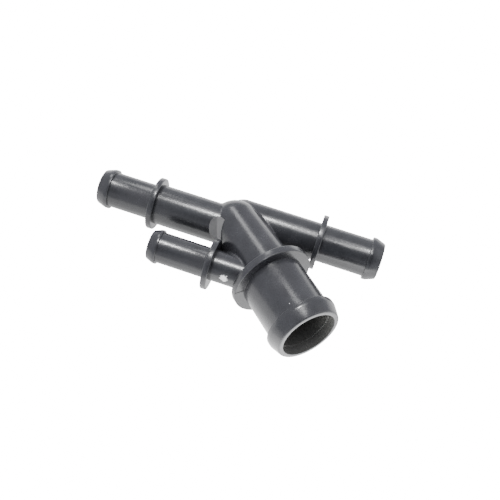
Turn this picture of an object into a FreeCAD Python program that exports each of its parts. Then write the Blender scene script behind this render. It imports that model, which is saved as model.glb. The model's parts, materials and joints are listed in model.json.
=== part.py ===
"""Four-way hose connector, moulded in one piece.

The axes of all four hose tubes lie in one plane. The left and the right tube run along X, side by
side with a small offset. The wide tube leaves them at an angle towards the front, and the small
tube runs beside the left one into its barrel. Each tube ends in a barb that grips the hose and has
a collar that stops it. The part lies as it comes to rest, on the collars of the left, right and
wide tubes. Lengths are millimetres, angles degrees.
"""
import FreeCAD, Part
import math
import os

import Sketcher
from FreeCAD import Placement, Rotation, Vector

DOCUMENT = FreeCAD.newDocument("four_way_connector")
SHEET = DOCUMENT.addObject("Spreadsheet::Sheet", "Sizes")

# Driving sizes
# Places along a tube are counted from the centre, where the left and the wide tube's axes cross.

SIZES = [
    ("wide_angle", 45.0, "turn of the wide tube away from the right tube"),
    ("right_offset", 9.6, "right tube's axis, behind the left tube's"),
    ("small_offset", 29.0, "small tube's axis, in front of the left tube's"),
    ("left_tube", 19.0, "left tube, where the hose sits"),
    ("left_neck", 21.5, "left tube, between its collar and the barrel"),
    ("left_collar", 28.2, "left collar, across"),
    ("left_collar_width", 3.0, "left collar, along the tube"),
    ("left_collar_face", 47.4, "left collar's hose side, from the centre"),
    ("left_barb", 21.5, "left barb, across its crest"),
    ("left_barb_length", 6.6, "left barb, from its back to the mouth"),
    ("left_barb_land", 1.8, "flat crest of the left barb"),
    ("left_lip", 18.2, "left mouth, outside"),
    ("left_bore", 14.2, "left tube's bore"),
    ("left_reach", 77.3, "left mouth, from the centre"),
    ("right_tube", 20.3, "right tube, where the hose sits"),
    ("right_neck", 20.3, "right tube, between its collar and the barrel"),
    ("right_collar", 29.8, "right collar, across"),
    ("right_collar_width", 2.9, "right collar, along the tube"),
    ("right_collar_face", 44.0, "right collar's hose side, from the centre"),
    ("right_barb", 23.2, "right barb, across its crest"),
    ("right_barb_length", 7.0, "right barb, from its back to the mouth"),
    ("right_barb_land", 1.8, "flat crest of the right barb"),
    ("right_lip", 19.4, "right mouth, outside"),
    ("right_bore", 15.4, "right tube's bore"),
    ("right_reach", 76.5, "right mouth, from the centre"),
    ("small_tube", 16.0, "small tube, where the hose sits"),
    ("small_neck", 16.0, "small tube, between its collar and the barrel"),
    ("small_collar", 26.4, "small collar, across"),
    ("small_collar_width", 3.0, "small collar, along the tube"),
    ("small_collar_face", 6.7, "small collar's hose side, from the centre"),
    ("small_barb", 17.9, "small barb, across its crest"),
    ("small_barb_length", 5.4, "small barb, from its back to the mouth"),
    ("small_barb_land", 1.4, "flat crest of the small barb"),
    ("small_lip", 14.8, "small mouth, outside"),
    ("small_bore", 11.6, "small tube's bore"),
    ("small_reach", 37.8, "small mouth, from the centre"),
    ("wide_tube", 32.8, "wide tube, where the hose sits"),
    ("wide_neck", 31.0, "barrel, across at the wide collar"),
    ("wide_collar", 43.0, "wide collar, across"),
    ("wide_collar_width", 3.8, "wide collar, along the tube"),
    ("wide_collar_face", 38.3, "wide collar's hose side, from the centre"),
    ("wide_barb", 36.8, "wide barb, across its crest"),
    ("wide_barb_length", 8.5, "wide barb, from its back to the mouth"),
    ("wide_barb_land", 2.4, "flat crest of the wide barb"),
    ("wide_lip", 33.0, "wide mouth, outside"),
    ("wide_bore", 26.8, "wide tube's bore"),
    ("wide_recess", 28.2, "wider ring just inside the wide mouth"),
    ("wide_recess_depth", 5.0, "depth of that ring"),
    ("wide_reach", 73.8, "wide mouth, from the centre"),
    ("barrel_back", 27.4, "barrel, across its round closed end"),
    ("barrel_setback", 3.2, "centre of the round end, behind the centre"),
    ("barrel_wall", 2.4, "wall of the barrel's round end"),
    ("left_root_round", 1.0, "rounded corner between the left tube and the barrel"),
    ("collar_bevel", 0.4, "bevelled rim of the collars"),
    ("mouth_bevel", 0.4, "bevelled outer rim of the mouths"),
    ("gate_across", 12.4, "stub of the moulding gate, across"),
    ("gate_x", -8.8, "middle of the stub's ridge, along X"),
    ("gate_y", -10.7, "middle of the stub's ridge, along Y"),
    ("gate_z", 7.1, "middle of the stub's ridge, above the plane of the axes"),
    ("gate_yaw", 9.9, "turn of the stub about Z"),
    ("gate_pitch", -15.6, "turn of the stub about Y"),
    ("gate_roll", 44.3, "turn of the stub about X"),
    ("gate_bevel", 22.0, "slope of its end on both sides of the ridge where it was nipped off"),
]


def fill_sheet():
    """Write each size on a row of the sheet: name, value and meaning."""
    for row, (name, value, meaning) in enumerate(SIZES, start=1):
        SHEET.set("A%d" % row, name)
        SHEET.set("B%d" % row, str(value))
        SHEET.set("C%d" % row, meaning)
        SHEET.setAlias("B%d" % row, name)
    DOCUMENT.recompute()


def size(name):
    """A size from the sheet, as a number."""
    return float(getattr(SHEET, name))


def number(sketch, expression):
    """What an expression on the sheet comes to."""
    return float(sketch.evalExpression(expression))


def axis_sketch(body, name, along="0", across="0", turn="0"):
    """A sketch in the plane of the axes, with its origin at (along, across), turned about Z."""
    sketch = body.newObject("Sketcher::SketchObject", name)
    plane = next(f for f in body.Origin.OriginFeatures if f.Role == "XY_Plane")
    sketch.AttachmentSupport = (plane, "")
    sketch.MapMode = "FlatFace"
    sketch.AttachmentOffset = Placement(Vector(), Rotation(Vector(0, 0, 1), 0))
    sketch.setExpression("AttachmentOffset.Base.x", along)
    sketch.setExpression("AttachmentOffset.Base.y", across)
    sketch.setExpression("AttachmentOffset.Rotation.Angle", turn)
    DOCUMENT.recompute()
    return sketch


def dimension(sketch, kind, name, expression, line, end):
    """Bind one end of a line to the sheet, as its distance from the sketch's origin."""
    value = number(sketch, expression)
    if abs(value) < 1e-9:
        axis = -2 if kind == "DistanceX" else -1
        sketch.addConstraint(Sketcher.Constraint("PointOnObject", line, end, axis))
        return
    index = sketch.addConstraint(Sketcher.Constraint(kind, -1, 1, line, end, value))
    sketch.renameConstraint(index, name)
    sketch.setExpression("Constraints." + name, expression)


def half_section(sketch, corners, round_back=False):
    """Draw a closed half section between the sketch's horizontal axis and the corners.

    A corner is (place along the axis, diameter), both as expressions on the sheet. Neighbours that
    share one of them are tied by a vertical or horizontal line, so that each size is bound once.
    With round_back a quarter circle about the origin closes the back instead of a flat end.
    """
    points = [Vector(number(sketch, p), number(sketch, d) / 2, 0) for p, d in corners]
    mouth = Vector(points[-1].x, 0, 0)
    back = Vector(-points[0].y, 0, 0) if round_back else Vector(points[0].x, 0, 0)
    outline = points + [mouth, back] + ([] if round_back else [points[0]])
    lines = [sketch.addGeometry(Part.LineSegment(a, b)) for a, b in zip(outline, outline[1:])]
    for line, following in zip(lines, lines[1:]):
        sketch.addConstraint(Sketcher.Constraint("Coincident", line, 2, following, 1))
    to_axis = lines[len(points) - 1]
    on_axis = lines[len(points)]
    sketch.addConstraint(Sketcher.Constraint("Vertical", to_axis))
    sketch.addConstraint(Sketcher.Constraint("PointOnObject", on_axis, 1, -1))
    sketch.addConstraint(Sketcher.Constraint("PointOnObject", on_axis, 2, -1))
    radius = "(%s) / 2" % corners[0][1]
    if round_back:
        circle = Part.Circle(Vector(), Vector(0, 0, 1), points[0].y)
        arc = sketch.addGeometry(Part.ArcOfCircle(circle, math.pi / 2, math.pi))
        sketch.addConstraint(Sketcher.Constraint("Coincident", arc, 3, -1, 1))
        sketch.addConstraint(Sketcher.Constraint("Coincident", arc, 2, on_axis, 2))
        sketch.addConstraint(Sketcher.Constraint("Tangent", arc, 1, lines[0], 1))
        index = sketch.addConstraint(Sketcher.Constraint("Radius", arc, points[0].y))
        sketch.renameConstraint(index, "radius_0")
        sketch.setExpression("Constraints.radius_0", radius)
    else:
        sketch.addConstraint(Sketcher.Constraint("Coincident", lines[-1], 2, lines[0], 1))
        sketch.addConstraint(Sketcher.Constraint("Vertical", lines[-1]))
        dimension(sketch, "DistanceX", "place_0", corners[0][0], lines[0], 1)
        dimension(sketch, "DistanceY", "radius_0", radius, lines[0], 1)
    for k in range(1, len(corners)):
        line = lines[k - 1]
        (last_place, last_across), (place, across) = corners[k - 1], corners[k]
        if place == last_place:
            sketch.addConstraint(Sketcher.Constraint("Vertical", line))
        else:
            dimension(sketch, "DistanceX", "place_%d" % k, place, line, 2)
        if across == last_across:
            sketch.addConstraint(Sketcher.Constraint("Horizontal", line))
        else:
            dimension(sketch, "DistanceY", "radius_%d" % k, "(%s) / 2" % across, line, 2)
    DOCUMENT.recompute()


def turn_section(body, name, sketch, cut=False):
    """Turn a half section about its axis, as new material or as a hollow."""
    before = body.Shape.Volume if body.Tip else 0.0
    feature = body.newObject("PartDesign::Groove" if cut else "PartDesign::Revolution", name)
    feature.Profile = sketch
    feature.ReferenceAxis = (sketch, ["H_Axis"])
    feature.Angle = 360
    DOCUMENT.recompute()
    gained = body.Shape.Volume - before
    if (gained < 0) != cut:
        raise RuntimeError("%s changed the volume by %.1f mm3" % (name, gained))
    print("%-22s %10.1f mm3" % (name, gained))
    return feature


def ease_edges(body, name, width, wanted, bevel=False):
    """Round or bevel the edges of the body so far that the function wanted picks."""
    base = body.Tip
    names = ["Edge%d" % i for i, edge in enumerate(base.Shape.Edges, start=1) if wanted(edge)]
    feature = body.newObject("PartDesign::Chamfer" if bevel else "PartDesign::Fillet", name)
    feature.Base = (base, names)
    feature.setExpression("Size" if bevel else "Radius", width)
    DOCUMENT.recompute()
    print("%-22s %10d edges" % (name, len(names)))
    return feature


# How edges are told apart: how close lies on a surface, which angle counts as sharp and where on an
# edge the test looks.
TOUCHING = 0.01
SHARP_ANGLE = 5.0
QUARTERS = (0.25, 0.5, 0.75)


def is_rim(edge, across):
    """True for a full circle of this diameter."""
    return len(edge.Vertexes) == 1 and abs(edge.Length - math.pi * across) < TOUCHING


def is_sharp(edge, shape):
    """True where the two faces beside an edge meet at an angle."""
    first, last = edge.ParameterRange
    point = edge.valueAt((first + last) / 2)
    faces = shape.ancestorsOfType(edge, Part.Face)
    outward = [face.normalAt(*face.Surface.parameter(point)) for face in faces]
    return len(faces) == 2 and outward[0].getAngle(outward[1]) > math.radians(SHARP_ANGLE)


def is_root(edge, shape, sketch, across):
    """True for a sharp curve on a tube's neck, where the tube runs into the barrel."""
    first, last = edge.ParameterRange
    inside = sketch.Placement.inverse()
    points = [inside.multVec(edge.valueAt(first + (last - first) * share)) for share in QUARTERS]
    along = [point.x for point in points]
    on_neck = max(abs(math.hypot(point.y, point.z) - across / 2) for point in points) < TOUCHING
    return on_neck and max(along) - min(along) > TOUCHING and is_sharp(edge, shape)


def tube_section(tube, start, shift="0"):
    """Corners of the outside of one tube, from its start to its mouth.

    shift is how far the sketch's origin lies behind the centre, as an expression on the sheet.
    """
    face = "Sizes.%s_collar_face + %s" % (tube, shift)
    collar_back = "%s - Sizes.%s_collar_width" % (face, tube)
    mouth = "Sizes.%s_reach + %s" % (tube, shift)
    barb_back = "%s - Sizes.%s_barb_length" % (mouth, tube)
    barb_front = "%s + Sizes.%s_barb_land" % (barb_back, tube)
    neck = "Sizes.%s_neck" % tube
    collar = "Sizes.%s_collar" % tube
    hose_seat = "Sizes.%s_tube" % tube
    crest = "Sizes.%s_barb" % tube
    return [start, (collar_back, neck), (collar_back, collar), (face, collar),
            (face, hose_seat), (barb_back, hose_seat), (barb_back, crest),
            (barb_front, crest), (mouth, "Sizes.%s_lip" % tube)]


def tube_frames():
    """Where each tube's sketches sit: along, across and turn, and their shift from the centre."""
    barrel_back_x = "-Sizes.barrel_setback * cos(Sizes.wide_angle)"
    barrel_back_y = "Sizes.barrel_setback * sin(Sizes.wide_angle)"
    crossing = "Sizes.small_offset / tan(Sizes.wide_angle)"
    return {
        "wide": ((barrel_back_x, barrel_back_y, "-Sizes.wide_angle"), "Sizes.barrel_setback"),
        "left": (("0", "0", "180"), "0"),
        "right": (("0", "Sizes.right_offset", "0"), "0"),
        "small": ((crossing, "-Sizes.small_offset", "180"), crossing),
    }


def polygon(sketch, corners):
    """Draw a closed outline through the corners, each (x, y) as expressions on the sheet."""
    points = [Vector(number(sketch, x), number(sketch, y), 0) for x, y in corners]
    lines = [sketch.addGeometry(Part.LineSegment(a, b)) for a, b in zip(points, points[1:] + points[:1])]
    for k, line in enumerate(lines):
        sketch.addConstraint(Sketcher.Constraint("Coincident", line, 1, lines[k - 1], 2))
        dimension(sketch, "DistanceX", "x_%d" % k, corners[k][0], line, 1)
        dimension(sketch, "DistanceY", "y_%d" % k, corners[k][1], line, 1)
    DOCUMENT.recompute()


def add_gate(body):
    """The stub of the moulding gate on the barrel: a round stump, nipped off to a low ridge."""
    stub = DOCUMENT.addObject("PartDesign::Body", "gate")
    place = ("placement(vector(Sizes.gate_x; Sizes.gate_y; Sizes.gate_z);"
             " rotation(Sizes.gate_yaw; Sizes.gate_pitch; Sizes.gate_roll))")
    upright = "placement(vector(0; 0; 0); rotation(vector(1; 0; 0); 90))"
    outline = axis_sketch(stub, "gate_outline")
    outline.setExpression("AttachmentOffset", place)
    circle = outline.addGeometry(Part.Circle(Vector(), Vector(0, 0, 1), size("gate_across") / 2))
    outline.addConstraint(Sketcher.Constraint("Coincident", circle, 3, -1, 1))
    index = outline.addConstraint(Sketcher.Constraint("Diameter", circle, size("gate_across")))
    outline.renameConstraint(index, "across")
    outline.setExpression("Constraints.across", "Sizes.gate_across")
    stump = stub.newObject("PartDesign::Pad", "gate_stub")
    stump.Profile = outline
    stump.setExpression("Length", "Sizes.gate_across")
    stump.Reversed = True
    DOCUMENT.recompute()
    whole = stub.Shape.Volume
    above = axis_sketch(stub, "gate_nip_outline")
    above.setExpression("AttachmentOffset", "%s * %s" % (place, upright))
    low = "-Sizes.gate_across * tan(Sizes.gate_bevel)"
    polygon(above, [("0", "0"), ("Sizes.gate_across", low),
                    ("Sizes.gate_across", "Sizes.gate_across"),
                    ("-Sizes.gate_across", "Sizes.gate_across"), ("-Sizes.gate_across", low)])
    nip = stub.newObject("PartDesign::Pocket", "gate_nip")
    nip.Profile = above
    nip.setExpression("Length", "2 * Sizes.gate_across")
    nip.Midplane = True
    DOCUMENT.recompute()
    if not 0 < stub.Shape.Volume < whole:
        raise RuntimeError("the gate stub's end isn't cut")
    before = body.Shape.Volume
    joined = body.newObject("PartDesign::Boolean", "gate_joined")
    joined.setObjects([stub])
    joined.Type = "Fuse"
    DOCUMENT.recompute()
    print("%-22s %10.1f mm3" % ("gate_joined", body.Shape.Volume - before))


def add_tubes(body):
    """The barrel with the wide tube, then the three others, all solid so far."""
    frames = tube_frames()
    starts = {
        "wide": ("0", "Sizes.barrel_back"),
        "left": ("0", "Sizes.left_neck"),
        "right": ("0", "Sizes.right_neck"),
        "small": ("0", "Sizes.small_neck"),
    }
    for tube, start in starts.items():
        where, shift = frames[tube]
        sketch = axis_sketch(body, tube + "_outside", *where)
        half_section(sketch, tube_section(tube, start, shift), round_back=tube in ("wide", "right"))
        turn_section(body, tube + "_tube", sketch)
        if tube == "left":
            shape = body.Tip.Shape
            neck = size("left_neck")
            ease_edges(body, "left_root", "Sizes.left_root_round",
                       lambda edge: is_root(edge, shape, sketch, neck))
        collar = size(tube + "_collar")
        ease_edges(body, tube + "_collar_rim", "Sizes.collar_bevel",
                   lambda edge: is_rim(edge, collar), bevel=True)
        lip = size(tube + "_lip")
        ease_edges(body, tube + "_mouth_rim", "Sizes.mouth_bevel",
                   lambda edge: is_rim(edge, lip), bevel=True)


def cut_bores(body):
    """The barrel's hollow with the wide bore, then the three bores that open into it."""
    frames = tube_frames()
    shift = frames["wide"][1]
    face = "Sizes.wide_collar_face + " + shift
    mouth = "Sizes.wide_reach + " + shift
    recess = mouth + " - Sizes.wide_recess_depth"
    hollow = "Sizes.barrel_back - 2 * Sizes.barrel_wall"
    hollows = {"wide": [("0", hollow), (face, "Sizes.wide_bore"), (recess, "Sizes.wide_bore"),
                        (recess, "Sizes.wide_recess"), (mouth, "Sizes.wide_recess")]}
    for tube in ("left", "right", "small"):
        bore = "Sizes.%s_bore" % tube
        hollows[tube] = [("0", bore), ("Sizes.%s_reach + %s" % (tube, frames[tube][1]), bore)]
    for tube, corners in hollows.items():
        sketch = axis_sketch(body, tube + "_inside", *frames[tube][0])
        half_section(sketch, corners, round_back=tube in ("wide", "right"))
        turn_section(body, tube + "_hollow", sketch, cut=True)


def lowest_points(up):
    """Lowest point of the left, right and wide collar when this direction points up."""
    points = []
    for tube in ("left", "right", "wide"):
        sketch = DOCUMENT.getObject(tube + "_outside")
        shift = number(sketch, tube_frames()[tube][1])
        way = sketch.Placement.Rotation.multVec(Vector(1, 0, 0))
        bevel = size("collar_bevel")
        radius = size(tube + "_collar") / 2
        face = size(tube + "_collar_face") + shift
        back = face - size(tube + "_collar_width")
        down = (way * up.dot(way) - up).normalize()
        rims = []
        for along, across in ((face, radius - bevel), (face - bevel, radius),
                              (back + bevel, radius), (back, radius - bevel)):
            rims.append(sketch.Placement.multVec(Vector(along, 0, 0)) + down * across)
        points.append(min(rims, key=lambda point: point.dot(up)))
    return points


def lay_down(body):
    """Turn the part as it lies on its three collars, over the origin, with its run along X."""
    up = Vector(0, 0, 1)
    for _ in range(40):
        left, right, wide = lowest_points(up)
        up = (right - wide).cross(left - wide).normalize()
    level = Rotation(up, Vector(0, 0, 1))
    run = level.multVec(Vector(1, 0, 0))
    turn = Rotation(Vector(0, 0, 1), -math.degrees(math.atan2(run.y, run.x))) * level
    body.Placement = Placement(Vector(), turn)
    DOCUMENT.recompute()
    box = body.Shape.optimalBoundingBox()
    body.Placement = Placement(Vector(-box.Center.x, -box.Center.y, -turn.multVec(left).z), turn)
    DOCUMENT.recompute()
    lean = math.degrees(up.getAngle(Vector(0, 0, 1)))
    print("leans %.2f degrees, up is %s in the tubes' plane" % (lean, up))


def check_part(body):
    """Stop before anything is written if a feature failed or the solid isn't whole."""
    failed = [item.Label for item in DOCUMENT.Objects if {"Invalid", "Error"} & set(item.State)]
    if failed:
        raise RuntimeError("failed: " + ", ".join(failed))
    if body.Shape.isNull() or not body.Shape.isValid() or len(body.Shape.Solids) != 1:
        raise RuntimeError("the connector isn't one valid solid")


fill_sheet()
CONNECTOR = DOCUMENT.addObject("PartDesign::Body", "connector")
CONNECTOR.Label = "connector"
add_tubes(CONNECTOR)
add_gate(CONNECTOR)
cut_bores(CONNECTOR)
lay_down(CONNECTOR)
check_part(CONNECTOR)
os.makedirs("parts", exist_ok=True)
CONNECTOR.Shape.exportStep("parts/connector.step")
print("volume %.1f mm3, box %s" % (CONNECTOR.Shape.Volume, CONNECTOR.Shape.optimalBoundingBox()))
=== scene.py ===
# %% [markdown]
# # A moulded four-way hose connector
#
# The object is a fitting for coolant hoses, moulded in one shot from a dark plastic with short glass
# fibres in it. Four barbed tubes meet in one barrel. This lesson builds its skin again, finer than
# the engineering model, gives it the finish of moulded plastic and sets it on a white table in a
# bright tent.
#
# First the imported engineering model is loaded. Everything here is in metres and in its frame, so a
# new piece goes where the old one is.

# %% Load the engineering model
import json
import math

import bmesh
import bpy
import numpy as np
from mathutils import Euler, Matrix, Quaternion, Vector


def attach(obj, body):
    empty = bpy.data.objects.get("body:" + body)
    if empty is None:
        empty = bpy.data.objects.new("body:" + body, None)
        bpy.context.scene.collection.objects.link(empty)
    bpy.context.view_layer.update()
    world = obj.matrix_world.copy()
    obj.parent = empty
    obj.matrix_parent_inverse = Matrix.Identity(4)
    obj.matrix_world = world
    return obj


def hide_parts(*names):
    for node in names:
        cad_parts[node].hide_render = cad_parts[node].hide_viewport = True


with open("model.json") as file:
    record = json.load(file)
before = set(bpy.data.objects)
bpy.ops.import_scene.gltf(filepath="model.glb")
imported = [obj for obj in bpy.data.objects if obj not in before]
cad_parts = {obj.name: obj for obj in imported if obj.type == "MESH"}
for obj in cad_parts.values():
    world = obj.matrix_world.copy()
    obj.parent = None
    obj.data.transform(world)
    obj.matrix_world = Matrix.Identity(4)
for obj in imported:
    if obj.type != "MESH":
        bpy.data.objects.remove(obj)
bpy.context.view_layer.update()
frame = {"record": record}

# %% [markdown]
# ## Where the tubes' axes run
#
# The four axes lie in one plane, which leans a little because the part lies on its collars. The
# record of the engineering model states each bore's axis, so the plane, the place where the left
# and the wide tube's axes cross and the directions of all four tubes are read from it. From here on
# all sizes are millimetres in that plane, as on a drawing: X along the run, Y to the back, Z up from
# the plane. The finished piece is turned into the frame at the end, in one step.

# %% Read the axes
MM = 0.001
mounts = {mount["name"]: mount for mount in frame["record"]["mounts"]}


def on_axis(tube):
    """A point on a tube's axis, in metres."""
    return Vector(mounts[tube + "_bore"]["pos_m"])


def way(tube):
    """The direction of a tube, from the barrel to its mouth."""
    return Vector(mounts[tube + "_bore"]["axis"]).normalized()


run = way("right")
normal = way("wide").cross(run).normalized()
back = normal.cross(run)
from_left = on_axis("wide") - on_axis("left")
centre = on_axis("wide") - way("wide") * (from_left.dot(back) / way("wide").dot(back))
to_frame = Matrix((run, back, normal)).transposed().to_4x4()
to_frame.translation = centre
TO_FRAME = to_frame @ Matrix.Scale(MM, 4)
WIDE_TURN = math.atan2(way("wide").dot(back), way("wide").dot(run))
RIGHT_OFFSET = (on_axis("right") - centre).dot(back) / MM
SMALL_OFFSET = (on_axis("small") - centre).dot(back) / MM
print("the wide tube turns %.1f degrees away" % math.degrees(WIDE_TURN))
print("right axis %.2f mm behind, small axis %.2f mm in front" % (RIGHT_OFFSET, -SMALL_OFFSET))

# %% [markdown]
# ## The sizes of each tube
#
# Every tube has the same parts: a neck, a collar that stops the hose, a plain seat for the hose and
# a barb that grips it, with a flat crest and a nose that slopes down to the mouth. Places are
# counted along the tube from the crossing of the axes, so one row of numbers describes a tube.

# %% Tube sizes in millimetres
TUBES = {
    "left": dict(neck=21.5, collar=28.2, collar_width=3.0, collar_face=47.4, seat=19.0, barb=21.5,
                 barb_length=6.6, land=1.8, lip=18.2, bore=14.2, reach=77.3),
    "right": dict(neck=20.3, collar=29.8, collar_width=2.9, collar_face=44.0, seat=20.3, barb=23.2,
                  barb_length=7.0, land=1.8, lip=19.4, bore=15.4, reach=76.5),
    "small": dict(neck=16.0, collar=26.4, collar_width=3.0, collar_face=6.7, seat=16.0, barb=17.9,
                  barb_length=5.4, land=1.4, lip=14.8, bore=11.6, reach=37.8),
    "wide": dict(neck=31.0, collar=43.0, collar_width=3.8, collar_face=38.3, seat=32.8, barb=36.8,
                 barb_length=8.5, land=2.4, lip=33.0, bore=26.8, reach=73.8),
}
BARREL_BACK = 27.4     # across the ball at the barrel's closed end
BARREL_SETBACK = 3.2   # from the crossing of the axes back to the ball's middle
BARREL_WALL = 2.4
SMALL_START = -SMALL_OFFSET / math.tan(WIDE_TURN)
ALONG = {
    "left": Matrix.Rotation(math.pi, 4, "Z"),
    "right": Matrix.Translation((0, RIGHT_OFFSET, 0)),
    "small": Matrix.Translation((0, SMALL_OFFSET, 0)) @ Matrix.Rotation(math.pi, 4, "Z"),
    "wide": Matrix.Rotation(WIDE_TURN, 4, "Z"),
}
for name, tube in TUBES.items():
    print("%-6s seat %.1f mm across, %.1f mm long" % (name, tube["seat"], tube["reach"]))

# %% [markdown]
# ## Turned shapes
#
# Almost every surface of the part is turned: an outline spun about the tube's axis, because the
# mould's halves are bored that way. Each edge has a small rounding, so an outline is given as
# corners with a place, a radius and a rounding. The bevel rounds the outline's corners before it is
# spun, which costs far less than bevelling the finished solid and keeps all rings regular.

# %% Helpers that turn an outline and keep a mesh
STEPS = 160


def keep(name, shape):
    """Make an object in the scene from a finished edit mesh."""
    mesh = bpy.data.meshes.new(name)
    shape.to_mesh(mesh)
    shape.free()
    item = bpy.data.objects.new(name, mesh)
    bpy.context.collection.objects.link(item)
    return item


def turned(name, corners, frame_of_tube, arc_steps=4):
    """Spin an outline about X. Each corner is (place, radius, rounding)."""
    shape = bmesh.new()
    points = [shape.verts.new((along, across, 0)) for along, across, _ in corners]
    for first, second in zip(points, points[1:]):
        shape.edges.new((first, second))
    for point, (_, _, rounding) in zip(points, corners):
        if rounding:
            bmesh.ops.bevel(shape, geom=[point], offset=rounding, offset_type="OFFSET", material=-1,
                            segments=arc_steps, profile=0.5, affect="VERTICES")
    bmesh.ops.spin(shape, geom=shape.verts[:] + shape.edges[:], axis=(1, 0, 0), cent=(0, 0, 0),
                   angle=math.tau, steps=STEPS, use_merge=True)
    bmesh.ops.remove_doubles(shape, verts=shape.verts, dist=0.0001)
    bmesh.ops.recalc_face_normals(shape, faces=shape.faces)
    shape.transform(frame_of_tube)
    return keep(name, shape)


def applied(item):
    """The object's mesh with its modifiers, in place of its old mesh."""
    graph = bpy.context.evaluated_depsgraph_get()
    mesh = bpy.data.meshes.new_from_object(item.evaluated_get(graph))
    item.modifiers.clear()
    item.data = mesh
    return item


# %% [markdown]
# ## The core: barrel and necks
#
# The barrel and the necks of the tubes run into each other with tight rounded corners, about a
# millimetre at each tube. A boolean would join them, but a bevel along such a joint often breaks
# where three shapes meet. So the four turned solids are melted into one even skin by a voxel
# remesh, which needs no hand-made joints, and the next step makes that skin exact.

# %% Turn the four solids
VOXEL = 0.55
HAIR = 0.01            # a round end's bevel stops this much short of the axis
NECK_STARTS = {"left": 0.0, "right": 0.0, "small": SMALL_START}


def inside_collar(tube):
    """Where a neck or the barrel ends: in the middle of the tube's collar."""
    return TUBES[tube]["collar_face"] - TUBES[tube]["collar_width"] / 2


barrel_end = inside_collar("wide")
parts = [turned("barrel", [
    (-BARREL_SETBACK - BARREL_BACK / 2, 0, 0),
    (-BARREL_SETBACK - BARREL_BACK / 2, BARREL_BACK / 2, BARREL_BACK / 2 - HAIR),
    (barrel_end, TUBES["wide"]["neck"] / 2, 0),
    (barrel_end, 0, 0)], ALONG["wide"], arc_steps=24)]
for tube, neck_start in NECK_STARTS.items():
    radius = TUBES[tube]["neck"] / 2
    parts.append(turned(tube + "_neck", [
        (neck_start - radius, 0, 0),
        (neck_start - radius, radius, radius - HAIR),
        (inside_collar(tube), radius, 0),
        (inside_collar(tube), 0, 0)], ALONG[tube], arc_steps=16))
print("solids:", ", ".join(part.name for part in parts))

# %% One skin
shape = bmesh.new()
for part in parts:
    shape.from_mesh(part.data)
    bpy.data.objects.remove(part)
core = keep("core", shape)
remesh = core.modifiers.new("one_skin", "REMESH")
remesh.mode = "VOXEL"
remesh.voxel_size = VOXEL
applied(core)
print("core:", len(core.data.vertices), "vertices")

# %% [markdown]
# ## Exact surfaces and rounded corners
#
# Voxels leave the surface up to half a voxel off, and they know nothing of roundings. So each
# vertex is moved onto the exact surface: for every solid its distance and outward direction are
# known by formula. In a corner, where a vertex is closer than the rounding to two solids, it goes
# onto the ball that rolls along both, exactly as a mould maker's ball cutter shapes such a corner.

# %% Rows of points and directions
TINY = 1e-9            # keeps a division away from zero


def norm(rows):
    """The length of each row."""
    return np.linalg.norm(rows, axis=1)


def local(points, frame_of_tube):
    """Points in a tube's own frame."""
    inverse = np.array(frame_of_tube.inverted())
    return points @ inverse[:3, :3].T + inverse[:3, 3]


def outward(directions, frame_of_tube):
    """Directions in a tube's own frame, turned back into the plane's."""
    return directions @ np.array(frame_of_tube)[:3, :3].T


def closed_by_end(distance, direction, along, end):
    """Where the flat end is nearer than the side, the distance to the end counts."""
    past = along - end
    nearer = past > distance
    direction[nearer] = (1.0, 0.0, 0.0)
    return np.where(nearer, past, distance), direction


# %% Distance to a neck
def neck_field(points, tube):
    """Distance to a neck with a round back, and the direction away from it."""
    own = local(points, ALONG[tube])
    spine = own.copy()
    spine[:, 1:] = 0
    spine[:, 0] = np.maximum(own[:, 0], NECK_STARTS[tube])
    away = own - spine
    length = np.maximum(norm(away), TINY)
    distance, direction = closed_by_end(
        length - TUBES[tube]["neck"] / 2, away / length[:, None], own[:, 0], inside_collar(tube))
    return distance, outward(direction, ALONG[tube])


# %% Distance to the barrel
def barrel_field(points):
    """Distance to the barrel: a ball at its back that goes over into a slight cone."""
    own = local(points, ALONG["wide"])
    along = own[:, 0] + BARREL_SETBACK
    across = np.maximum(norm(own[:, 1:]), TINY)
    side = own / across[:, None]
    side[:, 0] = 0
    ball = BARREL_BACK / 2
    cone_back = TUBES["wide"]["collar_face"] - TUBES["wide"]["collar_width"] + BARREL_SETBACK
    cone_across = TUBES["wide"]["neck"] / 2
    reach = math.hypot(cone_back, cone_across)
    flare = math.atan2(cone_across, cone_back) - math.asin(ball / reach)
    on_cone = along * math.cos(flare) + across * math.sin(flare) > 0
    cone_way = side * math.cos(flare)
    cone_way[:, 0] = -math.sin(flare)
    cone_distance = across * math.cos(flare) - along * math.sin(flare) - ball
    from_ball = side * across[:, None]
    from_ball[:, 0] = along
    far = np.maximum(norm(from_ball), TINY)
    distance = np.where(on_cone, cone_distance, far - ball)
    direction = np.where(on_cone[:, None], cone_way, from_ball / far[:, None])
    distance, direction = closed_by_end(distance, direction, own[:, 0], barrel_end)
    return distance, outward(direction, ALONG["wide"])


# %% A corner rounded by a rolling ball
def blend(first, second, rounding):
    """Join two fields. Where both are closer than the rounding, the ball's surface counts."""
    (a, toward_a), (b, toward_b) = first, second
    distance = np.minimum(a, b)
    direction = np.where((a < b)[:, None], toward_a, toward_b)
    cosine = np.clip((toward_a * toward_b).sum(axis=1), -0.999, 0.999)
    part_a = (a - rounding - cosine * (b - rounding)) / (1 - cosine ** 2)
    part_b = (b - rounding - cosine * (a - rounding)) / (1 - cosine ** 2)
    inward = part_a[:, None] * toward_a + part_b[:, None] * toward_b
    length = np.maximum(norm(inward), TINY)
    in_corner = (part_a < 0) & (part_b < 0) & (length < rounding * 2)
    distance = np.where(in_corner, rounding - length, distance)
    direction = np.where(in_corner[:, None], -inward / length[:, None], direction)
    return distance, direction


ROOTS = {"left": 1.0, "right": 0.8, "small": 0.8}


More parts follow.
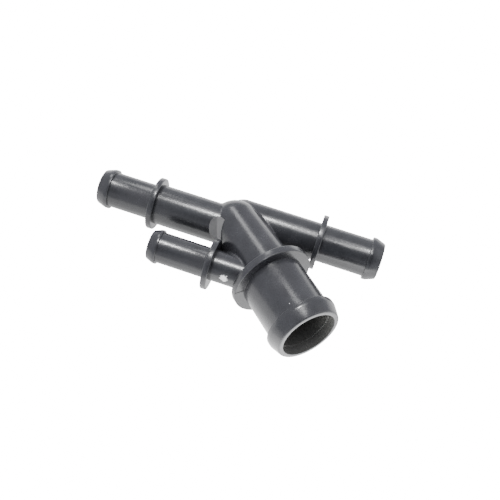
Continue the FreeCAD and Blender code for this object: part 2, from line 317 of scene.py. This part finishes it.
def core_field(points):
    """Distance to the whole core, with its rounded corners."""
    field = barrel_field(points)
    for tube, rounding in ROOTS.items():
        field = blend(field, neck_field(points, tube), rounding)
    return field


# %% Pull the skin onto the exact surface
def places(mesh):
    """The places of a mesh's vertices, one row each."""
    rows = np.empty(len(mesh.vertices) * 3)
    mesh.vertices.foreach_get("co", rows)
    return rows.reshape(-1, 3)


def pull(mesh, rounds):
    """Move all vertices onto the surface, and say how far off the last ones were."""
    points = places(mesh)
    for _ in range(rounds):
        distance, direction = core_field(points)
        points -= np.clip(distance, -VOXEL, VOXEL)[:, None] * direction
    mesh.vertices.foreach_set("co", points.ravel())
    return float(np.percentile(np.abs(core_field(points)[0]), 99))


pull(core.data, rounds=6)
for _ in range(3):
    shape = bmesh.new()
    shape.from_mesh(core.data)
    bmesh.ops.smooth_vert(shape, verts=shape.verts, factor=0.5,
                          use_axis_x=True, use_axis_y=True, use_axis_z=True)
    shape.to_mesh(core.data)
    shape.free()
    off = pull(core.data, rounds=4)
print("99 of 100 vertices lie within %.4f mm of the exact surface" % off)

# %% [markdown]
# ## Collars, hose seats and barbs
#
# From its collar on, each tube is a clean turned shape: the collar, the seat, the barb's steep back,
# the flat crest and the nose. The rims get a rounding of half a millimetre, which catches the light
# as a thin line. The inner corners are nearly sharp, as the tool left them, and show as dark lines.
# The mouth's edge is rounder, so that a hose slips on without being cut.

# %% Turn the four ends
COLLAR_RIM = 0.5
SEAT_CORNER = 0.1
BARB_FOOT = 0.08
NOSE = 0.6
LIP = 0.7


def end_outline(tube):
    """Corners of a tube from inside its collar to its mouth."""
    t = TUBES[tube]
    collar_back = t["collar_face"] - t["collar_width"]
    barb_back = t["reach"] - t["barb_length"]
    return [
        (collar_back, 0, 0),
        (collar_back, t["collar"] / 2, COLLAR_RIM),
        (t["collar_face"], t["collar"] / 2, COLLAR_RIM),
        (t["collar_face"], t["seat"] / 2, SEAT_CORNER),
        (barb_back, t["seat"] / 2, BARB_FOOT),
        (barb_back, t["barb"] / 2, t["barb"] / 80),
        (barb_back + t["land"], t["barb"] / 2, NOSE),
        (t["reach"], t["lip"] / 2, LIP),
        (t["reach"], 0, 0),
    ]


ends = [turned(tube + "_end", end_outline(tube), ALONG[tube]) for tube in TUBES]
print("ends:", sum(len(item.data.polygons) for item in ends), "faces")

# %% [markdown]
# ## The stub of the moulding gate
#
# The melt was shot in through a gate in the crotch between the left tube and the barrel. The gate
# was nipped off with cutters, whose two blades squeezed its round stump oval and left a low roof
# with a ridge. So it is a cylinder, narrowed across the ridge, that two planes cut as the blades
# did, and the ridge gets a narrow bevel.

# %% The nipped stub
GATE_ACROSS = 12.4
GATE_SQUEEZE = 0.8
GATE_SLOPE = math.radians(22)
RIDGE = 0.35
GATE = Matrix.Translation((-8.8, -11.0, 7.4)) @ Euler(
    (math.radians(44.3), math.radians(-15.6), math.radians(9.9))).to_matrix().to_4x4()
squeezed = Matrix.Diagonal((GATE_SQUEEZE, 1, 1, 1)) @ Matrix.Translation((0, 0, -GATE_ACROSS / 2))
shape = bmesh.new()
bmesh.ops.create_cone(shape, cap_ends=True, segments=96, radius1=GATE_ACROSS / 2,
                      radius2=GATE_ACROSS / 2, depth=GATE_ACROSS, matrix=squeezed)
for side in (1, -1):
    blade = (side * math.sin(GATE_SLOPE), 0, math.cos(GATE_SLOPE))
    bmesh.ops.bisect_plane(shape, geom=shape.verts[:] + shape.edges[:] + shape.faces[:],
                           dist=0.0001, plane_co=(0, 0, 0), plane_no=blade, clear_outer=True)
    bmesh.ops.holes_fill(shape, edges=[e for e in shape.edges if e.is_boundary], sides=0)
ridge = [e for e in shape.edges
         if all(abs(v.co.x) < 0.001 and abs(v.co.z) < 0.001 for v in e.verts)]
bmesh.ops.bevel(shape, geom=ridge, offset=RIDGE, offset_type="OFFSET", material=-1, segments=3,
                profile=0.5, affect="EDGES")
bmesh.ops.recalc_face_normals(shape, faces=shape.faces)
shape.transform(GATE)
gate = keep("gate_stub", shape)
print("gate stub:", len(gate.data.polygons), "faces,", len(ridge), "ridge")

# %% [markdown]
# ## The hollows
#
# Steel cores leave the bores. The barrel's core is the largest: it has a slightly wider ring at the
# mouth, which shows as a light band, and narrows to a round end. The rims of the mouths are rounded
# on the inside too, by a little flare at the end of each cutter.

# %% Turn the cutters of the necks
FLARE = 0.25
PAST_MOUTH = 2


def bore_outline(tube, first, mouth_radius):
    """A cutter's outline: its first corners, then a round flare and an end past the mouth."""
    reach = TUBES[tube]["reach"]
    flare = [(reach - FLARE * (1 - math.sin(a)), mouth_radius + FLARE * (1 - math.cos(a)), 0)
             for a in np.linspace(0, math.pi / 2, 5)]
    past = reach + PAST_MOUTH
    return first + flare + [(past, mouth_radius + FLARE, 0), (past, 0, 0)]


cutters = []
for tube, neck_start in NECK_STARTS.items():
    radius = TUBES[tube]["bore"] / 2
    cutters.append(turned(tube + "_cutter", bore_outline(tube, [
        (neck_start - radius, 0, 0), (neck_start - radius, radius, radius - HAIR)], radius),
        ALONG[tube], arc_steps=12))
print("walls of the necks, mm:", [round((t["neck"] - t["bore"]) / 2, 2) for t in
                                  (TUBES[tube] for tube in NECK_STARTS)])

# %% Turn the barrel's cutter
RECESS, RECESS_DEPTH = 28.2, 5.0
t = TUBES["wide"]
hollow = BARREL_BACK / 2 - BARREL_WALL
cutters.append(turned("wide_cutter", bore_outline("wide", [
    (-BARREL_SETBACK - hollow, 0, 0),
    (-BARREL_SETBACK - hollow, hollow, hollow - HAIR),
    (t["collar_face"], t["bore"] / 2, 0),
    (t["reach"] - RECESS_DEPTH, t["bore"] / 2, 0.1),
    (t["reach"] - RECESS_DEPTH, RECESS / 2, 0.1)], RECESS / 2), ALONG["wide"], arc_steps=12))

# %% [markdown]
# ## A scored line on the wide collar
#
# On the front face of the wide collar, on the side of the small tube, a fine groove runs inwards
# from the rim, just where the mould's halves met. A flat bar is cut out of the face for it. It is
# real geometry, so it stays in place and catches the light from every side.

# %% The groove's cutter
GROOVE_WIDTH, GROOVE_DEPTH = 0.5, 0.5
groove_ends = (t["seat"] / 2 + 0.2, t["collar"] / 2 + 1)
groove_middle = (t["collar_face"], -sum(groove_ends) / 2, 0)
groove_size = (2 * GROOVE_DEPTH, groove_ends[1] - groove_ends[0], GROOVE_WIDTH, 1)
shape = bmesh.new()
bmesh.ops.create_cube(shape, size=1, matrix=ALONG["wide"] @ Matrix.Translation(groove_middle)
                      @ Matrix.Diagonal(groove_size))
cutters.append(keep("groove_cutter", shape))
print("cutters:", ", ".join(item.name for item in cutters))

# %% [markdown]
# ## Put together and hollowed out
#
# The core, the ends and the stub are united and the cutters taken away. All of them are closed
# solids, so the fast solver for closed solids can do it.

# %% Unite and cut
def combine(item, other, operation):
    """Unite an object with another one, or cut it, and drop the other one."""
    step = item.modifiers.new(operation.lower(), "BOOLEAN")
    step.operation = operation
    step.solver = "MANIFOLD"
    step.object = other
    applied(item)
    bpy.data.objects.remove(other)


for item in ends + [gate]:
    combine(core, item, "UNION")
for item in cutters:
    combine(core, item, "DIFFERENCE")
print("one piece:", len(core.data.polygons), "faces")

# %% Clean the skin
core.data.materials.clear()
shape = bmesh.new()
shape.from_mesh(core.data)
bmesh.ops.remove_doubles(shape, verts=shape.verts, dist=0.002)
bmesh.ops.dissolve_degenerate(shape, edges=shape.edges, dist=0.0005)
open_edges = sum(not edge.is_manifold for edge in shape.edges)
print("open edges:", open_edges, "volume mm3: %.0f" % shape.calc_volume())

# %% [markdown]
# ## Where the rims wear and where the cutters bit
#
# Handling dulls the rims first, so the narrow faces of the roundings get an attribute, which the
# plastic reads: it makes them duller, and lighter in patches, partly real wear and partly a painted
# highlight along the rims. A face counts as one where it is small and meets a neighbour at a clear
# outward angle. The bores get an attribute too: the steel cores leave them duller, and their colour
# is painted lighter, as painted light for the light that reaches into them. The two faces that the
# cutters left on the gate's stub are torn, not moulded, so they get a material of their own. They
# are
# found by their place: on the planes of the blades.

# %% Mark the bores
bored = shape.loops.layers.float.new("bore")
tube_views = {tube: ALONG[tube].inverted() for tube in TUBES}
BORE_STARTS = NECK_STARTS | {"wide": -BARREL_SETBACK}


def in_bore(spot):
    """Whether a place lies on the wall of a bore, short of the mouth's rim."""
    for tube, view in tube_views.items():
        own = view @ spot
        past_collar = tube == "wide" and own.x > TUBES["wide"]["collar_face"]
        radius = (RECESS if past_collar else TUBES[tube]["bore"]) / 2
        along = BORE_STARTS[tube] < own.x < TUBES[tube]["reach"] - FLARE
        if along and own.yz.length < radius + 0.02:
            return True
    return False


inside = [face for face in shape.faces if in_bore(face.calc_center_median())]
for face in inside:
    for loop in face.loops:
        loop[bored] = 1.0
print("faces of the bores:", len(inside))

# %% Mark the rims and the nipped faces
RIM_FACE = 0.45        # square millimetres
RIM_ANGLE = math.radians(12)
wear_and_sheen = shape.loops.layers.float.new("wear_and_sheen")
rims = nipped = 0
gate_view = GATE.inverted()
for face in shape.faces:
    outward_edges = [e for e in face.edges if e.calc_face_angle_signed(0) > RIM_ANGLE]
    if outward_edges and face.calc_area() < RIM_FACE:
        rims += 1
        for loop in face.loops:
            loop[wear_and_sheen] = 1.0
    spot = gate_view @ face.calc_center_median()
    upright = (gate_view.to_3x3() @ face.normal).z
    roof = -abs(spot.x) * math.tan(GATE_SLOPE)
    from_middle = math.hypot(spot.x / GATE_SQUEEZE, spot.y)
    if from_middle < GATE_ACROSS / 2 and abs(spot.z - roof) < 0.1 and upright > 0.92:
        face.material_index = 1
        nipped += 1
print("rim faces:", rims, "nipped faces:", nipped)

# %% Turn the skin into the frame
shape.transform(TO_FRAME)
core.data.clear_geometry()
shape.to_mesh(core.data)
shape.free()
connector = core
connector.name = "moulded_connector"
connector.data.name = "moulded_connector"
connector.data.shade_smooth()
connector.data.set_sharp_from_angle(angle=math.radians(32))
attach(connector, "root")
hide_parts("connector")
print("triangles:", sum(len(face.vertices) - 2 for face in connector.data.polygons))

# %% [markdown]
# ## Grain of moulded plastic
#
# Seen closely, such plastic isn't even: it sank in soft waves of a millimetre or two while it
# cooled, and the glass fibres near the skin leave a fine grain. The waves matter most, because they
# break the long highlights on the tubes into ragged streaks. Both materials need the effect, each
# with its own values, so it is a node group. It takes a place in millimetres and gives a height for
# the bump and a tone for colour and gloss.

# %% The grain group
def add(tree, kind, inputs=(), **settings):
    """Add a shader node, set its options and its inputs by name or number."""
    node = tree.nodes.new("ShaderNode" + kind)
    for key, value in settings.items():
        setattr(node, key, value)
    for key, value in dict(inputs).items():
        if isinstance(value, bpy.types.NodeSocket):
            tree.links.new(value, node.inputs[key])
        else:
            node.inputs[key].default_value = value
    return node


grain = bpy.data.node_groups.new("moulding_grain", "ShaderNodeTree")
for name, kind in (("Place", "NodeSocketVector"), ("Waves per mm", "NodeSocketFloat"),
                   ("Grain per mm", "NodeSocketFloat"), ("Grain Share", "NodeSocketFloat")):
    grain.interface.new_socket(name, in_out="INPUT", socket_type=kind)
for name in ("Height", "Tone"):
    grain.interface.new_socket(name, in_out="OUTPUT", socket_type="NodeSocketFloat")
given = grain.nodes.new("NodeGroupInput").outputs
waves = add(grain, "TexNoise", {"Vector": given["Place"], "Scale": given["Waves per mm"],
                                "Detail": 1.5})
fibres = add(grain, "TexNoise", {"Vector": given["Place"], "Scale": given["Grain per mm"],
                                 "Detail": 3.0})
height = add(grain, "Mix", {"Factor": given["Grain Share"], "A": waves.outputs[0],
                            "B": fibres.outputs[0]})
flow = add(grain, "TexNoise", {"Vector": given["Place"], "Scale": 0.11, "Detail": 4.0,
                               "Roughness": 0.6})
tone = add(grain, "Mix", {"Factor": 0.5, "A": flow.outputs[0], "B": fibres.outputs[0]})
tone_range = add(grain, "MapRange", {"Value": tone.outputs[0], "From Min": 0.36, "From Max": 0.64})
result = grain.nodes.new("NodeGroupOutput")
grain.links.new(height.outputs[0], result.inputs["Height"])
grain.links.new(tone_range.outputs[0], result.inputs["Tone"])
print("group:", grain.name, "with", len(grain.nodes), "nodes")

# %% [markdown]
# ## Places in the plane of the axes
#
# The finish belongs to places on the part, such as the plane of its axes, where the mould parted.
# The object's own coordinates are in the frame, so one Mapping node turns them back into the plane
# of the axes, in millimetres. The pattern then stays on the part however the part lies.

# %% A material that knows the plane of the axes
TO_PLANE = TO_FRAME.inverted()


def finish(name, wave_scale, grain_scale, grain_share):
    """A new material, its shader, the place in the plane of the axes, and its grain."""
    material = bpy.data.materials.new(name)
    material.use_nodes = True
    tree = material.node_tree
    spot_on_part = add(tree, "TexCoord").outputs["Object"]
    plane = add(tree, "Mapping", {"Vector": spot_on_part, "Location": TO_PLANE.translation,
                                  "Rotation": TO_PLANE.to_euler(), "Scale": TO_PLANE.to_scale()})
    group = add(tree, "Group", node_tree=grain)
    tree.links.new(plane.outputs[0], group.inputs["Place"])
    group.inputs["Waves per mm"].default_value = wave_scale
    group.inputs["Grain per mm"].default_value = grain_scale
    group.inputs["Grain Share"].default_value = grain_share
    return material, tree, tree.nodes["Principled BSDF"], plane.outputs[0], group.outputs


# %% [markdown]
# ## Moulded plastic
#
# The plastic is nearly black and rather glossy: what shows on it is mostly the reflection of lamps
# and table. Its colour and gloss vary a little with the grain's tone. The rims are worn duller all
# along, and lighter in patches, partly from wear and partly as a painted highlight. The bores are
# dull, and painted lighter as painted light. Around the whole part runs the parting line, where the
# halves of the mould met: a ridge so fine that a bump is enough.

# %% Colour
plastic, tree, shader, plane, skin = finish("moulded_skin", 0.55, 2.8, 0.22)
colour = add(tree, "Mix", {"Factor": skin["Tone"], "A": (0.014, 0.0143, 0.0164, 1),
                           "B": (0.027, 0.0275, 0.0312, 1)}, data_type="RGBA")

# %% Worn rims, with a painted highlight on them
gloss = add(tree, "MapRange", {"Value": skin["Tone"], "To Min": 0.20, "To Max": 0.28})
rim = add(tree, "Attribute", attribute_name="wear_and_sheen")
patches = add(tree, "TexNoise", {"Vector": plane, "Scale": 0.9, "Detail": 4.0})
patchy = add(tree, "MapRange", {"Value": patches.outputs[0], "From Min": 0.42, "From Max": 0.66,
                                "To Max": 0.4})
# The lighter patches on the rims are partly wear and partly a painted highlight.
worn_and_sheen = add(tree, "Math", {0: rim.outputs["Fac"], 1: patchy.outputs[0]}, operation="MULTIPLY")
worn_and_sheen_colour = add(tree, "Mix", {"Factor": worn_and_sheen.outputs[0], "A": colour.outputs["Result"],
                                "B": (0.05, 0.051, 0.055, 1)}, data_type="RGBA")
worn_gloss = add(tree, "Mix", {"Factor": rim.outputs["Fac"], "A": gloss.outputs[0], "B": 0.36})

# %% Dull bores, painted lighter as painted light
bore_dull_and_lit = add(tree, "Attribute", attribute_name="bore")
# The bores' lighter colour is painted light, for the light that reaches into them.
bore_lit_colour = add(tree, "Mix", {"Factor": bore_dull_and_lit.outputs["Fac"], "A": worn_and_sheen_colour.outputs["Result"],
                                "B": (0.078, 0.078, 0.073, 1)}, data_type="RGBA")
bore_gloss = add(tree, "Mix", {"Factor": bore_dull_and_lit.outputs["Fac"], "A": worn_gloss.outputs[0], "B": 0.5})

# %% The parting line
from_plane = add(tree, "SeparateXYZ", {"Vector": plane})
beside = add(tree, "Math", {0: from_plane.outputs["Z"]}, operation="ABSOLUTE")
parting = add(tree, "MapRange", {"Value": beside.outputs[0], "From Min": 0.0, "From Max": 0.14,
                                 "To Min": 0.35, "To Max": 0.0}, interpolation_type="SMOOTHSTEP")
relief = add(tree, "Math", {0: skin["Height"], 1: parting.outputs[0]}, operation="ADD")
print("so far", len(tree.nodes), "nodes for the skin")

# %% [markdown]
# ## A dab of white and a speck
#
# On the front of the small tube's neck sits a ragged dab of something white, about 4 mm across, and
# a pale speck lies on the wide tube. Each is a mask: the distance from its middle, frayed by noise.
# The dab is matt and stands a little proud.

# %% Mask a ragged spot
SOFT_EDGE = 0.35
fray = add(tree, "TexNoise", {"Vector": plane, "Scale": 0.9, "Detail": 6.0, "Roughness": 0.75})


def ragged_spot(middle, radius, raggedness):
    """A mask that is 1 inside a spot and 0 outside, with a frayed edge."""
    away = add(tree, "VectorMath", {0: plane, 1: middle}, operation="DISTANCE")
    frayed = add(tree, "Math", {0: fray.outputs[0], 1: raggedness, 2: away.outputs["Value"]},
                 operation="MULTIPLY_ADD")
    edge = radius + raggedness / 2
    return add(tree, "MapRange", {"Value": frayed.outputs[0], "From Min": edge,
                                  "From Max": edge - SOFT_EDGE})


dab = ragged_spot(middle=(3.9, -36.8, 1.6), radius=1.95, raggedness=4.6)
speck = ragged_spot(middle=(38.9, -49.6, 14.5), radius=0.28, raggedness=0.3)

# %% Put the marks on the skin
marks = add(tree, "Math", {0: dab.outputs[0], 1: speck.outputs[0]}, operation="MAXIMUM")
marked_colour = add(tree, "Mix", {"Factor": marks.outputs[0], "A": bore_lit_colour.outputs["Result"],
                                  "B": (0.95, 0.95, 0.93, 1)}, data_type="RGBA")
marked_gloss = add(tree, "Mix", {"Factor": marks.outputs[0], "A": bore_gloss.outputs[0], "B": 0.7})
proud = add(tree, "Math", {0: marks.outputs[0], 1: 0.8, 2: relief.outputs[0]},
            operation="MULTIPLY_ADD")
bump = add(tree, "Bump", {"Height": proud.outputs[0], "Strength": 1.0, "Distance": 0.00005})
tree.links.new(marked_colour.outputs["Result"], shader.inputs["Base Color"])
tree.links.new(marked_gloss.outputs[0], shader.inputs["Roughness"])
tree.links.new(bump.outputs[0], shader.inputs["Normal"])
print(plastic.name, "has", len(tree.nodes), "nodes")

# %% [markdown]
# ## Nipped plastic
#
# Where the cutters bit the gate off, the plastic is torn: paler, matt and rougher than the moulded
# skin. From the ridge to the side of the barrel its colour is painted paler still, a painted
# highlight on the facet that faces the light. The place is turned once more, into the stump's own
# axes, so that its X tells the side of the ridge. The same grain group serves, with shorter waves
# and more grain.

# %% The torn faces
torn, tree, shader, plane, skin = finish("nipped_face", 0.8, 3.5, 0.45)
torn_colour = add(tree, "Mix", {"Factor": skin["Tone"], "A": (0.070, 0.070, 0.070, 1),
                                "B": (0.105, 0.105, 0.104, 1)}, data_type="RGBA")
gate_place = add(tree, "Mapping", {"Vector": plane, "Location": gate_view.translation,
                                   "Rotation": gate_view.to_euler()})
side_of_ridge = add(tree, "SeparateXYZ", {"Vector": gate_place.outputs[0]})
# The facet from the ridge to the side of the barrel is painted paler: a painted highlight for the
# side that faces the light.
lit_facet = add(tree, "MapRange", {"Value": side_of_ridge.outputs["X"], "From Min": -0.6,
                                   "From Max": 0.1, "To Min": 0.0, "To Max": 0.8},
                interpolation_type="SMOOTHSTEP")
lit_facet_colour = add(tree, "Mix", {"Factor": lit_facet.outputs[0], "A": torn_colour.outputs["Result"],
                                "B": (0.15, 0.15, 0.15, 1)}, data_type="RGBA")
torn_gloss = add(tree, "MapRange", {"Value": skin["Tone"], "To Min": 0.45, "To Max": 0.6})
torn_bump = add(tree, "Bump", {"Height": skin["Height"], "Strength": 1.0, "Distance": 0.00014})
tree.links.new(lit_facet_colour.outputs["Result"], shader.inputs["Base Color"])
tree.links.new(torn_gloss.outputs[0], shader.inputs["Roughness"])
tree.links.new(torn_bump.outputs[0], shader.inputs["Normal"])
for material in (plastic, torn):
    connector.data.materials.append(material)
print("materials:", [material.name for material in connector.data.materials])

# %% [markdown]
# ## Table
#
# The part lies on a white table, and the picture is exposed for the dark plastic, so the table
# burns out to plain white. A table as bright as that would flood the plastic's edges with its
# reflection, so two shaders share the work: what the camera sees is a glowing white, and what the
# part reflects is a dimmer one. That one is a painted pool of light, brightest in front of the wide
# mouth and fading away from it.

# %% A white table
table_paint = bpy.data.materials.new("white_table")
table_paint.use_nodes = True
tree = table_paint.node_tree
paint = tree.nodes["Principled BSDF"]
paint.inputs["Base Color"].default_value = (0.35, 0.35, 0.35, 1)
paint.inputs["Roughness"].default_value = 0.8
paint.inputs["Specular IOR Level"].default_value = 0.1
paint.inputs["Emission Color"].default_value = (1, 1, 1, 1)
table_spot = add(tree, "TexCoord").outputs["Object"]
before_mouth = add(tree, "VectorMath", {0: table_spot, 1: (0.075, -0.105, 0.0)},
                   operation="DISTANCE")
# A painted pool of light: the glow that the part reflects is brightest in front of the wide mouth.
painted_light_pool = add(tree, "MapRange", {"Value": before_mouth.outputs["Value"], "From Min": 0.045,
                              "From Max": 0.12, "To Min": 6.3, "To Max": 1.9})
tree.links.new(painted_light_pool.outputs[0], paint.inputs["Emission Strength"])
glow = add(tree, "Emission", {"Strength": 18.0})
seen = add(tree, "LightPath")
split = add(tree, "MixShader", {0: seen.outputs["Is Camera Ray"], 1: paint.outputs[0],
                                2: glow.outputs[0]})
tree.links.new(split.outputs[0], tree.nodes["Material Output"].inputs["Surface"])
bpy.ops.mesh.primitive_plane_add(size=4, location=(0, 0, 0))
table = bpy.context.object
table.name = "table"
table.data.materials.append(table_paint)
print("table: %.0f m wide" % table.dimensions.x)

# %% [markdown]
# ## Light
#
# The tent is bright all round but for the opening that the picture is taken through, above the
# front of the part. That dark opening draws the dark bands along the tubes, so the sky has a dark
# patch there: the nearer a direction lies to the opening's middle, the darker it is.

# %% The tent
TENT, OPENING = 1.15, 0.1
OPENING_EDGE, OPENING_CORE = math.radians(36), math.radians(22)
opening_way = Vector((0.27, -0.62, 0.74)).normalized()
world = bpy.data.worlds.new("tent")
world.use_nodes = True
tree = world.node_tree
sky = add(tree, "TexCoord").outputs["Generated"]
nearness = add(tree, "VectorMath", {0: sky, 1: opening_way}, operation="DOT_PRODUCT")
brightness = add(tree, "MapRange", {
    "Value": nearness.outputs["Value"], "From Min": math.cos(OPENING_EDGE),
    "From Max": math.cos(OPENING_CORE), "To Min": TENT, "To Max": OPENING},
    interpolation_type="SMOOTHSTEP")
tree.links.new(brightness.outputs[0], tree.nodes["Background"].inputs["Strength"])
tree.nodes["Background"].inputs["Color"].default_value = (0.97, 0.98, 1.06, 1)
bpy.context.scene.world = world
print("tent %.2f bright, its opening %.2f" % (TENT, OPENING))

# %% [markdown]
# ## Lamps
#
# Five soft boxes shine through the tent's cloth. The large one overhead lights everything that
# faces up. The small lamp in it is far brighter and draws the streaks on the hose seats of the left
# and small tubes, and a weaker one the streak on the right tube. A long one at the back left follows
# the barrel and the wide tube. A wide, weak one at the right lifts the sides that face it.

# %% Soft boxes
def soft_box(name, spot, target, width, height, brightness):
    """A rectangular lamp of that brightness (radiance) that shines at a target."""
    lamp = bpy.data.lights.new(name, "AREA")
    lamp.shape = "RECTANGLE"
    lamp.size = width
    lamp.size_y = height
    lamp.energy = brightness * math.pi * width * height
    item = bpy.data.objects.new(name, lamp)
    item.location = spot
    item.rotation_mode = "QUATERNION"
    item.rotation_quaternion = (Vector(target) - Vector(spot)).to_track_quat("-Z", "Y")
    item.visible_camera = False
    bpy.context.collection.objects.link(item)
    print("%-9s %.2f x %.2f m, %.1f W" % (name, width, height, lamp.energy))
    return item


soft_box("overhead", (-0.04, 0.17, 0.80), (-0.04, 0.17, 0), 0.32, 0.44, 4.5)
soft_box("lamp", (-0.12, 0.12, 0.78), (-0.12, 0.12, 0), 0.10, 0.08, 205.0)
soft_box("lamp_right", (0.07, 0.0, 0.78), (0.07, 0.0, 0), 0.10, 0.08, 25.0)
soft_box("back_left", (-0.54, 0.80, 0.80), (0, 0, 0), 0.24, 0.50, 8.8)
soft_box("right", (1.10, 0.35, 0.75), (0, 0, 0), 1.0, 0.7, 0.65)

# %% [markdown]
# ## Camera
#
# The camera looks down from the front. Its place, its lens and its slight roll were measured from
# the photo with the sizes of the tubes, so the outlines fall on each other.

# %% Camera
lens = bpy.data.cameras.new("camera")
lens.lens = 50.4
lens.sensor_width = 36
camera = bpy.data.objects.new("camera", lens)
camera.location = (0.03614, -0.18179, 0.32636)
aim = Vector((-0.0707, 0.5231, -0.8493)).to_track_quat("-Z", "Y")
camera.rotation_mode = "QUATERNION"
camera.rotation_quaternion = aim @ Quaternion((0, 0, 1), math.radians(12.415))
bpy.context.collection.objects.link(camera)
bpy.context.scene.camera = camera
print("camera %.0f mm from the part's middle" % (camera.location.length / MM))
